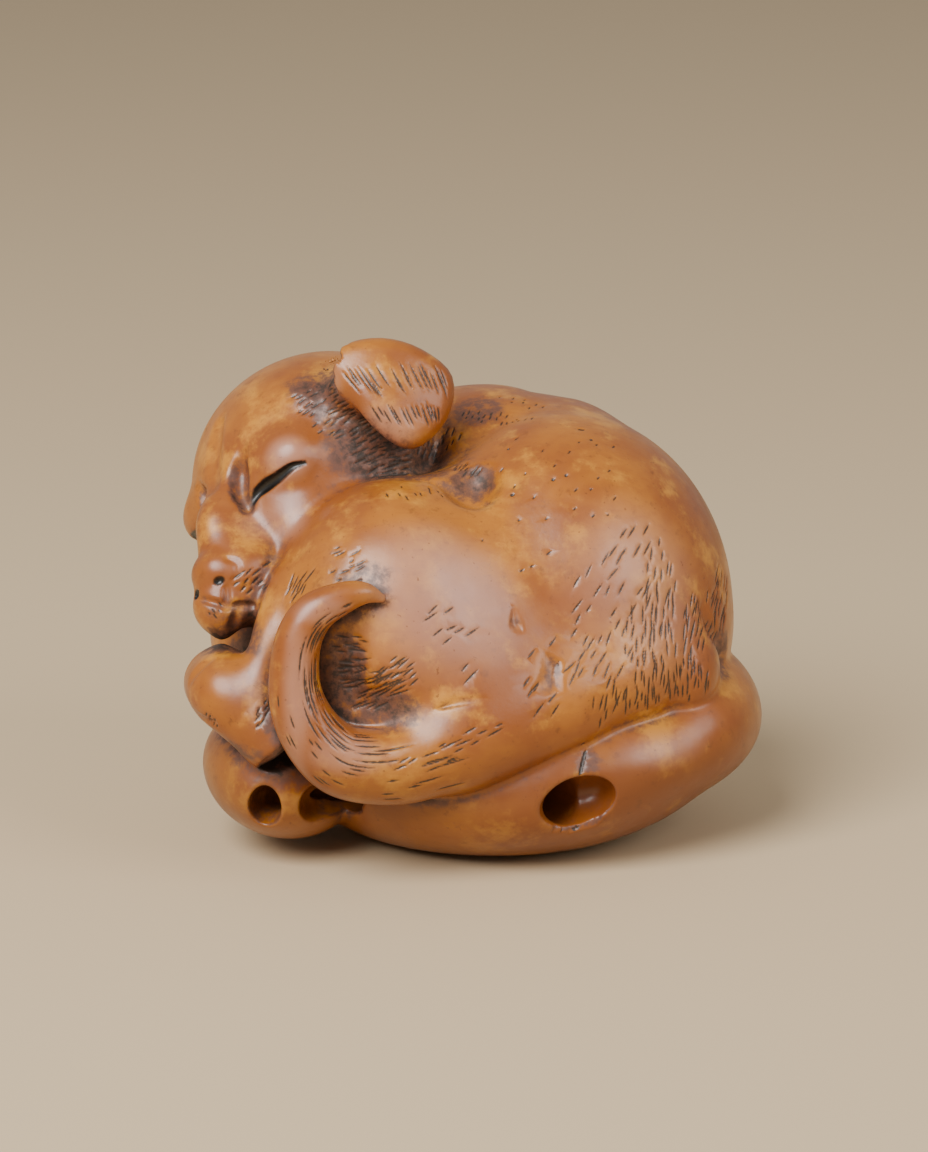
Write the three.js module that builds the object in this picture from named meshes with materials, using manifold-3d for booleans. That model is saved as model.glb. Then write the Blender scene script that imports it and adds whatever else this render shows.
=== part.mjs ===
// A boxwood netsuke: a puppy asleep, curled nose to tail on a smooth round cushion.
// Millimetres, +Z up. The tail and the near side of the face are on the -Y side, the rump is at +X.
// Every form is a rounded mass. Masses that flow into one another are blended first, a ball of
// triangles is drawn in onto the blend, and the drawn shapes are joined where the carver cut a crease.
import * as THREE from "three";
import { mergeVertices } from "three/addons/utils/BufferGeometryUtils.js";
import Module from "manifold-3d";

const wasm = await Module();
wasm.setup();

// ---- driving dimensions ------------------------------------------------------------------------

const REACH = 40; // farther from any centre than the carving goes
const LONGEST_STEP = 1; // at most this far at a time on the way in to a surface
const SHARE_OF_GAP = 0.6; // a step is this much of the gap that is left
const ON_SURFACE = 1e-3; // a gap this small is none
const MOST_STEPS = 400;
const MERGE = 1e-4; // points closer than this are one point
const BOXWOOD = { color: 0xb5752a, roughness: 0.38, metalness: 0 };

// A mass: its centre, its three radii, its turn in degrees about X, Y and Z, and the width over which
// it is blended into the masses before it.
const CUSHION = [
  { at: [4.1, -1.0, 6.1], radii: [16.1, 13.4, 6.5], turn: [0, -8, 0] },
  { at: [2.5, -1.2, 5.0], radii: [13.0, 13.2, 5.4], blend: 2 },
  { at: [15.0, -1.0, 8.7], radii: [5.0, 8.5, 4.6], blend: 1.5 },
];
const NEAR_LOBE = { at: [-13.0, -4.5, 5.2], radii: [5.6, 8.5, 4.3], turn: [0, 16, 0] };
const FAR_LOBE = { at: [-5.0, 4.0, 5.4], radii: [10.5, 8.5, 4.6], turn: [0, 6, 0] };
const FLOOR_ROUNDING = 1; // how softly the cushion turns into its flat underside
const FLOOR_CUT = 0.05; // the cushion is made this much too deep, then cut flat

const TORSO = { at: [6.2, 1.2, 15.0], radii: [12.2, 13.2, 14.1] };
const HAUNCH = { at: [-5.1, -6.2, 15.0], radii: [9.2, 9.2, 11.0], blend: 4.2 };
const LOWER_FLANK = { at: [7.6, -0.7, 12.6], radii: [9.7, 12.2, 5.8], turn: [0, -12, 0], blend: 2 };
const RUMP = { at: [-0.7, -6.5, 12.4], radii: [8.5, 8.0, 6.3], blend: 4 };
const FAR_SHOULDER = { at: [1.0, 8.0, 14.0], radii: [9.0, 6.5, 10.0], blend: 2.5 };
const FAR_THIGH = { at: [9.5, 7.5, 11.5], radii: [8.0, 7.0, 7.5], blend: 1.2 };
const NAPE = { at: [6.0, 6.5, 24.6], radii: [5.0, 5.5, 4.4], blend: 2 };
const BODY = [TORSO, HAUNCH, LOWER_FLANK, RUMP, FAR_SHOULDER, FAR_THIGH, NAPE];
const NECK_HOLLOW = { at: [0.1, -6.4, 26.4], radii: [1.8, 2.3, 2.0], turn: [40, 0, 0] };
const HOLLOW_EDGE = 1;
const RUMP_TUFT = { at: [14.5, -6.3, 12.5], radii: [2.6, 3.2, 3.1] };

// A limb: points along its middle, each with the limb's radius there.
const TAIL = [
  [5.1, -11.0, 11.1, 2.4],
  [0.7, -13.4, 9.9, 2.7],
  [-3.4, -14.8, 8.8, 2.75],
  [-6.0, -15.3, 8.5, 2.6],
  [-8.5, -15.8, 9.0, 2.45],
  [-10.2, -16.1, 10.5, 2.2],
  [-11.3, -16.2, 12.5, 1.95],
  [-11.7, -16.1, 14.7, 1.7],
  [-11.4, -15.9, 17.4, 1.55],
  [-10.3, -15.7, 19.2, 1.4],
  [-8.3, -15.4, 20.2, 1.05],
  [-7.0, -15.2, 20.4, 0.75],
  [-5.9, -14.9, 20.0, 0.3],
];
const TAIL_ROOT_POINTS = 4; // this many points of the tail are also blended into the rump
const TAIL_ROOT_BLEND = 4;
const TAIL_GROOVE = [
  [-6.3, -16.6, 19.1, 0.6],
  [-8.3, -16.2, 17.5, 1.5],
  [-9.0, -16.2, 14.7, 1.9],
  [-8.0, -16.3, 13.0, 1.8],
  [-5.7, -16.6, 12.6, 1.3],
  [-3.7, -16.8, 13.2, 0.6],
];
const GROOVE_EDGE = 1.2;
const TUFT_CREASE = [
  [16.0, -6.6, 17.2, 0.1],
  [16.6, -6.3, 15.6, 0.4],
  [17.3, -5.6, 14.2, 0.8],
  [17.9, -5.0, 12.8, 1.1],
];
const CREASE_EDGE = 0.8;
const SHIN = [
  [-12.2, -8.5, 18.9, 1.2],
  [-13.3, -10.3, 16.6, 1.3],
  [-14.0, -11.5, 14.0, 1.2],
  [-13.9, -12.0, 11.5, 1.5],
  [-13.1, -12.2, 9.4, 1.9],
];
const HIND_FOOT = [
  [-13.1, -12.2, 9.4, 1.9],
  [-14.9, -11.5, 10.8, 2.2],
  [-16.4, -10.5, 12.3, 2.6],
  [-17.1, -7.5, 12.2, 2.5],
];
const NECK_RIDGE = [
  [-1.5, -0.5, 25.2, 0.8],
  [-0.3, 1.0, 26.4, 1.2],
  [1.4, 2.4, 27.4, 1.4],
  [3.5, 4.6, 27.7, 1.5],
  [5.5, 8.0, 26.9, 1.4],
  [7.5, 10.5, 25.0, 1.0],
];
const NECK = [
  { at: [1.2, 6.5, 25.0], radii: [6.8, 7.0, 4.9] },
  { at: [-2.5, 8.5, 21.0], radii: [7.5, 6.5, 7.5], blend: 2 },
];
const CHEST = { at: [-13.6, 1.0, 13.6], radii: [4.6, 6.0, 5.6] };
const NEAR_FOREPAW = { at: [-16.6, -2.4, 10.4], radii: [2.4, 3.6, 1.9], turn: [0, 0, 25] };
const FAR_FOREPAW = { at: [-16.2, 3.6, 10.2], radii: [2.6, 3.4, 1.9], turn: [0, 0, -10] };
const FAR_HIND_FOOT = { at: [-2.5, 11.8, 8.9], radii: [5.2, 2.4, 2.0], turn: [0, 8, 8] };

// The head has its own frame: forward to the nose, up to the crown, and across to the far side.
const HEAD_AT = new THREE.Vector3(-10.5, 4.5, 24.2);
const FORWARD = new THREE.Vector3(-0.683, -0.73, 0);
const FAR_SIDE = new THREE.Vector3(-0.606, 0.567, -0.558);
const HEAD = [
  { at: [0, 0, 0], radii: [9.0, 8.3, 9.3] }, // skull
  { at: [4.6, -1.8, 0], radii: [5.3, 5.4, 5.8], blend: 2.4 }, // face
  { at: [5.2, -5.2, 3.2], radii: [4.3, 3.4, 3.0], blend: 2, pair: true }, // cheeks
  { at: [6.8, 0, 4.6], radii: [2.0, 1.9, 2.3], blend: 1.2, pair: true }, // upper lids
  { at: [10.2, -2.6, 0], radii: [2.6, 3.2, 1.9], blend: 1.5, turn: [0, 0, 40] }, // bridge
  { at: [10.9, -5.9, 0], radii: [3.3, 2.6, 3.0], blend: 1.6 }, // muzzle
  { at: [13.4, -5.3, 0.1], radii: [1.2, 1.4, 1.7], blend: 0.6 }, // nose
  { at: [10, -7.7, 0], radii: [4, 2, 2.4], blend: 0.6 }, // jaw
  { at: [13.3, -7.5, 0.8], radii: [1.8, 2.0, 1.9], blend: 0.6 }, // chin
];
const EYE_SLIT = [
  [9.9, -2.0, 2.1, 0.15],
  [9.4, -1.35, 2.9, 0.32],
  [9.1, -1.15, 3.8, 0.4],
  [8.8, -1.1, 4.8, 0.36],
  [8.2, -0.9, 5.9, 0.25],
  [7.5, -1.0, 6.5, 0.12],
];
const BROW_HOLLOW = [
  [9.0, 1.6, 2.6, 0.2],
  [9.2, 0.6, 2.1, 0.55],
  [9.7, -0.7, 1.9, 0.45],
  [10.0, -1.9, 2.1, 0.2],
];
const NOSTRIL = { at: [14.4, -6.2, 1.1], radii: [0.55, 0.3, 0.42] };

// An ear is a flap: its outline, along and down from its middle, and how much it cups.
const EAR_OUTLINE = [
  [-5.6, -1.1],
  [-5.4, -2.3],
  [-3.3, -3.3],
  [-0.5, -3.7],
  [2.3, -2.9],
  [4.5, -1.0],
  [3.9, 2.1],
  [1.4, 4.2],
  [-1.0, 3.1],
  [-3.0, 0.6],
  [-4.2, -1.1],
];
const EAR_HALF_THICKNESS = 0.8;
const EAR_EDGE = 1.2;
const EAR_CUP_ALONG = 0.05;
const EAR_CUP_DOWN = 0.035;
const EAR_CUP_AT = [0.3, 0.5];
const NEAR_EAR = { at: [-5.3, -3.6, 31.9], along: [1, 0.22, -0.05], out: [0, -0.92, 0.4] };
const FAR_EAR_AT = [-3.5, 1.5, 8.8]; // in the head's frame
const EAR_ROOT = { at: [-6.2, -0.2, 31.0], radii: [3.6, 3.9, 2.3] };

// The cord's way through the cushion: in at the wide mouth, round behind the front and out by the
// cleft. A second, narrower mouth beside the cleft joins it. Each mouth is worn wider than its way.
const CORD_WAY = [
  [7.2, -13.8, 5.5, 1.6],
  [4.6, -11.0, 5.2, 1.7],
  [1.6, -8.8, 5.0, 1.7],
  [-4.4, -8.4, 5.0, 1.5],
  [-8.6, -9.8, 4.9, 1.3],
  [-10.2, -12.0, 4.8, 1.2],
];
const CORD_BRANCH = [
  [-13.9, -12.2, 4.8, 1.0],
  [-13.0, -9.6, 4.9, 1.0],
  [-9.6, -8.2, 5.0, 1.0],
  [-4.4, -8.0, 5.0, 1.0],
];
const CORD_MOUTHS = [
  { at: [7.2, -14.6, 5.6], radii: [2.5, 3.4, 1.75], turn: [0, -22, -25] },
  { at: [-10.2, -12.6, 4.8], radii: [1.35, 3.2, 1.4] },
  { at: [-13.9, -12.8, 4.8], radii: [1.1, 3.0, 1.5] },
];

// ---- blended masses ----------------------------------------------------------------------------

// The smaller of two depths, with the crease between them filled to about the width given.
function smoothMin(a, b, width) {
  const share = Math.max(width - Math.abs(a - b), 0) / width;
  return Math.min(a, b) - share * share * width * 0.25;
}

const smoothMax = (a, b, width) => -smoothMin(-a, -b, width);

// How far a point is outside a mass, in millimetres, close to true near its surface.
function massField({ at, radii, turn = [0, 0, 0] }) {
  const angles = turn.map(THREE.MathUtils.degToRad);
  const rotation = new THREE.Quaternion().setFromEuler(new THREE.Euler(...angles, "ZYX")).invert();
  const centre = new THREE.Vector3(...at);
  const size = new THREE.Vector3(...radii);
  return (point) => {
    const local = point.clone().sub(centre).applyQuaternion(rotation).divide(size);
    const level = local.length();
    const slope = local.divide(size).length();
    return slope > 0 ? (level * (level - 1)) / slope : -Math.min(...radii);
  };
}

// The masses of a list, each blended into those before it by its own width.
function blendField(masses, width = 1) {
  const fields = masses.map(massField);
  return (point) =>
    fields.reduce((depth, field, i) => {
      const next = field(point);
      return i ? smoothMin(depth, next, masses[i].blend ?? width) : next;
    }, Infinity);
}

// A curve through the middle of a limb, and its radius along that curve.
function limbCurves(points) {
  const middle = points.map(([x, y, z]) => new THREE.Vector3(x, y, z));
  const radius = points.map((point) => new THREE.Vector3(point[3], 0, 0));
  return {
    middle: new THREE.CatmullRomCurve3(middle, false, "catmullrom", 0.5),
    radius: new THREE.CatmullRomCurve3(radius, false, "catmullrom", 0.5),
  };
}

// How far a point is outside a round limb.
function limbField(points, steps = 5) {
  const { middle, radius } = limbCurves(points);
  const count = steps * (points.length - 1);
  const centres = middle.getPoints(count);
  const radii = radius.getPoints(count).map((value) => value.x);
  return (point) => {
    let nearest = Infinity;
    for (let i = 0; i < count; i++) {
      const line = new THREE.Line3(centres[i], centres[i + 1]);
      const share = line.closestPointToPointParameter(point, true);
      const gap = line.at(share, new THREE.Vector3()).distanceTo(point);
      nearest = Math.min(nearest, gap - THREE.MathUtils.lerp(radii[i], radii[i + 1], share));
    }
    return nearest;
  };
}

// How far a point is outside a closed flat outline.
function outlineField(outline) {
  return (x, y) => {
    let nearest = Infinity;
    let inside = false;
    outline.forEach((b, i) => {
      const a = outline.at(i - 1);
      const side = new THREE.Vector2().subVectors(b, a);
      const from = new THREE.Vector2(x - a.x, y - a.y);
      const share = THREE.MathUtils.clamp(from.dot(side) / side.lengthSq(), 0, 1);
      nearest = Math.min(nearest, from.addScaledVector(side, -share).length());
      if (a.y > y !== b.y > y && x < a.x + ((y - a.y) / (b.y - a.y)) * (b.x - a.x)) inside = !inside;
    });
    return inside ? -nearest : nearest;
  };
}

// ---- triangles ---------------------------------------------------------------------------------

// A closed geometry with its shared points merged and nothing but their places kept.
function closed(geometry) {
  const places = new THREE.BufferGeometry();
  places.setAttribute("position", geometry.getAttribute("position"));
  if (geometry.index) places.setIndex(geometry.index);
  return mergeVertices(places, MERGE);
}

function solid(geometry) {
  const merged = closed(geometry);
  return new wasm.Manifold(
    new wasm.Mesh({
      numProp: 3,
      vertProperties: merged.getAttribute("position").array,
      triVerts: new Uint32Array(merged.index.array),
    }),
  );
}

// Draws a ball in onto a field: each point comes in along its own ray until it meets the surface.
// Spread is the ball's shape, so a long form has its triangles spread along it.
function drawnIn(field, { at, spread = [1, 1, 1], detail }) {
  const ball = closed(new THREE.IcosahedronGeometry(1, detail));
  const centre = new THREE.Vector3(...at);
  const shape = new THREE.Vector3(...spread);
  const places = ball.getAttribute("position");
  for (let i = 0; i < places.count; i++) {
    const ray = new THREE.Vector3().fromBufferAttribute(places, i).multiply(shape).normalize();
    let reach = REACH;
    for (let step = 0; step < MOST_STEPS; step++) {
      const gap = field(centre.clone().addScaledVector(ray, reach));
      if (gap < ON_SURFACE) break;
      reach -= Math.min(gap * SHARE_OF_GAP, LONGEST_STEP);
    }
    const place = ray.multiplyScalar(reach).add(centre);
    places.setXYZ(i, place.x, place.y, place.z);
  }
  return ball;
}

// A limb as a sphere drawn out along its curve, with a round end at both poles.
function drawnOut(points, sides, rings) {
  const { middle, radius } = limbCurves(points);
  const frames = middle.computeFrenetFrames(rings);
  const length = middle.getLength();
  const ball = new THREE.SphereGeometry(1, sides, rings);
  const places = ball.getAttribute("position");
  for (let i = 0; i < places.count; i++) {
    const from = new THREE.Vector3().fromBufferAttribute(places, i);
    const ring = Math.round((Math.acos(THREE.MathUtils.clamp(from.y, -1, 1)) / Math.PI) * rings);
    const share = ring / rings;
    const thickness = radius.getPoint(middle.getUtoTmapping(share)).x;
    const toEnd = Math.min(1, (length * Math.min(share, 1 - share)) / thickness);
    const turn = Math.atan2(from.z, from.x);
    const out = thickness * Math.sqrt(1 - (1 - toEnd) ** 2);
    const place = middle
      .getPointAt(share)
      .addScaledVector(frames.normals[ring], out * Math.cos(turn))
      .addScaledVector(frames.binormals[ring], out * Math.sin(turn));
    places.setXYZ(i, place.x, place.y, place.z);
  }
  return ball;
}

// ---- the head's frame --------------------------------------------------------------------------

const across = FAR_SIDE.clone().normalize();
const forward = FORWARD.clone().addScaledVector(across, -FORWARD.dot(across)).normalize();
const crown = new THREE.Vector3().crossVectors(across, forward);
const headFrame = new THREE.Matrix4().makeBasis(forward, crown, across).setPosition(HEAD_AT);
const fromHead = ([x, y, z, ...rest]) => [
  ...new THREE.Vector3(x, y, z).applyMatrix4(headFrame).toArray(),
  ...rest,
];
const otherSide = ([x, y, z, ...rest]) => [x, y, -z, ...rest];

// ---- the forms ---------------------------------------------------------------------------------

function cushion() {
  const masses = blendField(CUSHION);
  const field = (point) => smoothMax(masses(point), -point.z - FLOOR_CUT, FLOOR_ROUNDING);
  return solid(drawnIn(field, { at: [3, -1, 5], spread: [1.3, 1.1, 0.75], detail: 6 }));
}

function lobe(mass, detail) {
  return solid(drawnIn(massField(mass), { at: mass.at, spread: mass.radii, detail }));
}

function body() {
  const masses = blendField(BODY);
  const tailRoot = limbField(TAIL.slice(0, TAIL_ROOT_POINTS));
  const groove = limbField(TAIL_GROOVE);
  const hollow = massField(NECK_HOLLOW);
  const crease = limbField(TUFT_CREASE);
  const field = (point) => {
    let depth = smoothMin(masses(point), tailRoot(point), TAIL_ROOT_BLEND);
    depth = smoothMax(depth, -groove(point), GROOVE_EDGE);
    depth = smoothMax(depth, -hollow(point), HOLLOW_EDGE);
    return smoothMax(depth, -crease(point), CREASE_EDGE);
  };
  return solid(drawnIn(field, { at: [1.5, -2, 14.5], detail: 10 }));
}

function head() {
  const pairs = HEAD.filter((mass) => mass.pair);
  const masses = [...HEAD, ...pairs.map((mass) => ({ ...mass, at: otherSide(mass.at) }))];
  const inHead = headFrame.clone().invert();
  const field = blendField(masses);
  const inWorld = (point) => field(point.clone().applyMatrix4(inHead));
  return solid(drawnIn(inWorld, { at: fromHead([4.8, -2.6, 0]), detail: 9 }));
}

function neck() {
  const masses = blendField(NECK);
  const ridge = limbField(NECK_RIDGE);
  const field = (point) => smoothMin(masses(point), ridge(point), 1);
  return solid(drawnIn(field, { at: [0, 6.5, 23.5], detail: 4 }));
}

// A cupped flap, fully rounded at its edge, that hangs from its long straight side.
function ear({ at, along, out }) {
  const alongAxis = new THREE.Vector3(...along).normalize();
  const downAxis = new THREE.Vector3().crossVectors(alongAxis, new THREE.Vector3(...out)).normalize();
  const inAxis = new THREE.Vector3().crossVectors(alongAxis, downAxis);
  const frame = new THREE.Matrix4().makeBasis(alongAxis, downAxis, inAxis);
  frame.setPosition(new THREE.Vector3(...at));
  const corners = EAR_OUTLINE.map(([x, y]) => new THREE.Vector3(x, y, 0));
  const edge = new THREE.CatmullRomCurve3(corners, true, "catmullrom", 0.5);
  const outline = outlineField(edge.getPoints(4 * EAR_OUTLINE.length).slice(1));
  const field = ({ x, y, z }) => {
    const cup =
      EAR_CUP_ALONG * (x - EAR_CUP_AT[0]) ** 2 + EAR_CUP_DOWN * (y - EAR_CUP_AT[1]) ** 2;
    const through = Math.abs(z - cup) - EAR_HALF_THICKNESS;
    return smoothMax(outline(x, y), through, EAR_EDGE);
  };
  const flap = drawnIn(field, { at: [0, 0, 0], spread: [5, 4, 0.9], detail: 4 });
  return solid(flap.applyMatrix4(frame));
}

function farEar() {
  const along = forward.clone().multiplyScalar(-0.9).addScaledVector(crown, -0.3);
  const out = across.clone().addScaledVector(forward, -0.25).addScaledVector(crown, 0.1);
  return ear({ at: fromHead(FAR_EAR_AT), along: along.toArray(), out: out.toArray() });
}

const cuts = (points, sides, rings) => solid(drawnOut(points, sides, rings));

function faceCuts() {
  const lines = [EYE_SLIT, BROW_HOLLOW];
  const both = lines.flatMap((line) => [line, line.map(otherSide)]);
  const nostrils = [NOSTRIL.at, otherSide(NOSTRIL.at)].map((at) => {
    const place = { at: fromHead(at), radii: NOSTRIL.radii };
    return lobe(place, 1);
  });
  return [...both.map((line) => cuts(line.map(fromHead), 5, 7)), ...nostrils];
}

// ---- the netsuke -------------------------------------------------------------------------------

const masses = [
  cushion(),
  lobe(NEAR_LOBE, 4),
  lobe(FAR_LOBE, 3),
  body(),
  lobe(RUMP_TUFT, 2),
  solid(drawnOut(TAIL, 8, 28)),
  solid(drawnOut(SHIN, 8, 8)),
  solid(drawnOut(HIND_FOOT, 10, 9)),
  neck(),
  lobe(CHEST, 3),
  lobe(NEAR_FOREPAW, 2),
  lobe(FAR_FOREPAW, 2),
  lobe(FAR_HIND_FOOT, 2),
  head(),
  lobe(EAR_ROOT, 2),
  ear(NEAR_EAR),
  farEar(),
];
let carving = masses.reduce((whole, next) => whole.add(next));
const below = new THREE.BoxGeometry(2 * REACH, 2 * REACH, 2).translate(0, 0, -1);
const mouths = CORD_MOUTHS.map((mouth) => lobe(mouth, 3));
const channels = [cuts(CORD_WAY, 8, 10), cuts(CORD_BRANCH, 7, 7), ...mouths];
for (const cut of [solid(below), ...channels, ...faceCuts()]) carving = carving.subtract(cut);

const { vertProperties, triVerts } = carving.getMesh();
const geometry = new THREE.BufferGeometry();
geometry.setAttribute("position", new THREE.BufferAttribute(vertProperties, 3));
geometry.setIndex(new THREE.BufferAttribute(triVerts, 1));
geometry.computeVertexNormals();

// The origin is under the middle of the carving's own box.
geometry.computeBoundingBox();
const middle = geometry.boundingBox.getCenter(new THREE.Vector3());
geometry.translate(-middle.x, -middle.y, 0);

const netsuke = new THREE.Mesh(geometry, new THREE.MeshStandardMaterial(BOXWOOD));
netsuke.name = "netsuke";
const group = new THREE.Group();
group.add(netsuke);

export default group;
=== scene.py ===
# %% [markdown]
# A boxwood netsuke: a puppy asleep on a round cushion, about 40 mm across. A netsuke is a toggle that
# held a pouch on a sash, so it is small, smooth and rounded, with nothing that could snag.
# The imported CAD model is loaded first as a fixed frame, and every measure below agrees with it.

# %% Load the frame
import math
import random

import bpy
import numpy as np
from mathutils import Euler, Matrix, Vector
from mathutils.kdtree import KDTree


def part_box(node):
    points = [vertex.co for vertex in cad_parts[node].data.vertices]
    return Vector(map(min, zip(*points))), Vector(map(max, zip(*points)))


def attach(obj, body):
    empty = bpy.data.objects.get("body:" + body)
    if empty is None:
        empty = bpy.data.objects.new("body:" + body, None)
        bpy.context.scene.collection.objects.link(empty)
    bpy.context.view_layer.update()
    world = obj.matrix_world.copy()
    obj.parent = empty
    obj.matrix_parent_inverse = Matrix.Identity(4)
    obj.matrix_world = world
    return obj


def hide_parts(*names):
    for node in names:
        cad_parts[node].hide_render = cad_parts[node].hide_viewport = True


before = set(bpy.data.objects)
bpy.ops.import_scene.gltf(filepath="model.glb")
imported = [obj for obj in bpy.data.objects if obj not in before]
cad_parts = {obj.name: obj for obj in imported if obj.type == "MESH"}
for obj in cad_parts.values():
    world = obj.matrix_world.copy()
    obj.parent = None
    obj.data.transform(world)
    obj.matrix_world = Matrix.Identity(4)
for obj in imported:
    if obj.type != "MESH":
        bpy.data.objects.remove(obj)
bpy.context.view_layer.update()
cad_low, cad_high = (np.array(corner) * 1000 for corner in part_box("netsuke"))
print("the CAD solid measures", np.round(cad_high - cad_low, 2), "mm")

# %% [markdown]
# A carver roughs a netsuke out as a few round masses, then draws the knife over them until they flow
# into each other. The same is done here in numbers. Each mass is a centre, three radii and a turn, in
# millimetres, with the width over which it is blended into those before it. These are the CAD
# model's own forms, so that the fine surface lies on the solid.

# %% The masses of the carving
CUSHION = [
    dict(at=(4.1, -1.0, 6.1), radii=(16.1, 13.4, 6.5), turn=(0, -8, 0)),
    dict(at=(2.5, -1.2, 5.0), radii=(13.0, 13.2, 5.4), blend=2.0),
    dict(at=(15.0, -1.0, 8.7), radii=(5.0, 8.5, 4.6), blend=1.5),
    dict(at=(-13.0, -4.5, 5.2), radii=(5.6, 8.5, 4.3), turn=(0, 16, 0), blend=0.5),
    dict(at=(-5.0, 4.0, 5.4), radii=(10.5, 8.5, 4.6), turn=(0, 6, 0), blend=0.5),
]
BODY = [
    dict(at=(6.2, 1.2, 15.0), radii=(12.2, 13.2, 14.1)),
    dict(at=(-5.1, -6.2, 15.0), radii=(9.2, 9.2, 11.0), blend=4.2),
    dict(at=(7.6, -0.7, 12.6), radii=(9.7, 12.2, 5.8), turn=(0, -12, 0), blend=2.0),
    dict(at=(-0.7, -6.5, 12.4), radii=(8.5, 8.0, 6.3), blend=4.0),
    dict(at=(1.0, 8.0, 14.0), radii=(9.0, 6.5, 10.0), blend=2.5),
    dict(at=(9.5, 7.5, 11.5), radii=(8.0, 7.0, 7.5), blend=1.2),
    dict(at=(6.0, 6.5, 24.6), radii=(5.0, 5.5, 4.4), blend=2.0),
]
RUMP_TUFT = dict(at=(14.5, -6.3, 12.5), radii=(2.6, 3.2, 3.1))
NECK = [
    dict(at=(1.2, 6.5, 25.0), radii=(6.8, 7.0, 4.9)),
    dict(at=(-2.5, 8.5, 21.0), radii=(7.5, 6.5, 7.5), blend=2.0),
]
LIMBS = [
    dict(at=(-13.6, 1.0, 13.6), radii=(4.6, 6.0, 5.6)),
    dict(at=(-16.6, -2.4, 10.4), radii=(2.4, 3.6, 1.9), turn=(0, 0, 25), blend=0.6),
    dict(at=(-16.2, 3.6, 10.2), radii=(2.6, 3.4, 1.9), turn=(0, 0, -10), blend=0.4),
    dict(at=(-2.5, 11.8, 8.9), radii=(5.2, 2.4, 2.0), turn=(0, 8, 8), blend=0.4),
]
NECK_HOLLOW = dict(at=(0.1, -6.4, 26.4), radii=(1.8, 2.3, 2.0), turn=(40, 0, 0))
EAR_ROOT = dict(at=(-6.2, -0.2, 31.0), radii=(3.6, 3.9, 2.3))
print("masses:", sum(len(group) for group in (CUSHION, BODY, NECK, LIMBS)) + 2)

# %% [markdown]
# Tail, shin, foot and the fold of the neck are limbs: points along the middle, each with the radius
# there, joined by a smooth curve. The cord way through the cushion is the same thing cut away.

# %% The limbs and the cuts
TAIL = [
    (5.1, -11.0, 11.1, 2.4), (0.7, -13.4, 9.9, 2.7), (-3.4, -14.8, 8.8, 2.75),
    (-6.0, -15.3, 8.5, 2.6), (-8.5, -15.8, 9.0, 2.45), (-10.2, -16.1, 10.5, 2.2),
    (-11.3, -16.2, 12.5, 1.95), (-11.7, -16.1, 14.7, 1.7), (-11.4, -15.9, 17.4, 1.55),
    (-10.3, -15.7, 19.2, 1.4), (-8.3, -15.4, 20.2, 1.05), (-7.0, -15.2, 20.4, 0.75),
    (-5.9, -14.9, 20.0, 0.3),
]
TAIL_GROOVE = [
    (-6.3, -16.6, 19.1, 0.6), (-8.3, -16.2, 17.5, 1.5), (-9.0, -16.2, 14.7, 1.9),
    (-8.0, -16.3, 13.0, 1.8), (-5.7, -16.6, 12.6, 1.3), (-3.7, -16.8, 13.2, 0.6),
]
SHIN = [
    (-12.2, -8.5, 18.9, 1.2), (-13.3, -10.3, 16.6, 1.3), (-14.0, -11.5, 14.0, 1.2),
    (-13.9, -12.0, 11.5, 1.5), (-13.1, -12.2, 9.4, 1.9),
]
HIND_FOOT = [
    (-13.1, -12.2, 9.4, 1.9), (-14.9, -11.5, 10.8, 2.2), (-16.4, -10.5, 12.3, 2.6),
    (-17.1, -7.5, 12.2, 2.5),
]
NECK_RIDGE = [
    (-1.5, -0.5, 25.2, 0.8), (-0.3, 1.0, 26.4, 1.2), (1.4, 2.4, 27.4, 1.4),
    (3.5, 4.6, 27.7, 1.5), (5.5, 8.0, 26.9, 1.4), (7.5, 10.5, 25.0, 1.0),
]
TUFT_CREASE = [
    (16.0, -6.6, 17.2, 0.1), (16.6, -6.3, 15.6, 0.4), (17.3, -5.6, 14.2, 0.8),
    (17.9, -5.0, 12.8, 1.1),
]
HAUNCH_CREASE = [
    (-4.0, -4.9, 26.2, 0.2), (-2.4, -5.5, 25.9, 0.4), (-0.9, -5.9, 25.2, 0.45),
    (0.4, -6.5, 24.6, 0.35), (1.3, -6.9, 24.4, 0.1),
]
TOE_CLEFT = [(-17.4, -10.9, 15.0, 0.1), (-18.4, -11.0, 14.2, 0.3), (-19.3, -10.9, 13.2, 0.3)]
PAD_CLEFT = [(-19.6, -9.4, 11.3, 0.35), (-18.5, -11.5, 10.8, 0.35), (-17.3, -12.8, 10.8, 0.1)]
CORD_WAY = [
    (7.2, -13.8, 5.5, 1.6), (4.6, -11.0, 5.2, 1.7), (1.6, -8.8, 5.0, 1.7),
    (-4.4, -8.4, 5.0, 1.5), (-8.6, -9.8, 4.9, 1.3), (-10.2, -12.0, 4.8, 1.2),
]
CORD_BRANCH = [
    (-13.9, -12.2, 4.8, 1.0), (-13.0, -9.6, 4.9, 1.0), (-9.6, -8.2, 5.0, 1.0),
    (-4.4, -8.0, 5.0, 1.0),
]
CORD_MOUTHS = [
    dict(at=(7.2, -14.6, 5.6), radii=(2.5, 3.4, 1.75), turn=(0, -22, -25)),
    dict(at=(-10.2, -12.6, 4.8), radii=(1.35, 3.2, 1.4)),
    dict(at=(-13.9, -12.8, 4.8), radii=(1.1, 3.0, 1.5)),
]

# %% [markdown]
# The head is turned and tipped towards the camera side, so its masses are given in a frame of its own:
# forward to the nose, up to the crown and across to the far side. A mass marked as a pair is cut on
# both cheeks alike.

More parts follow.
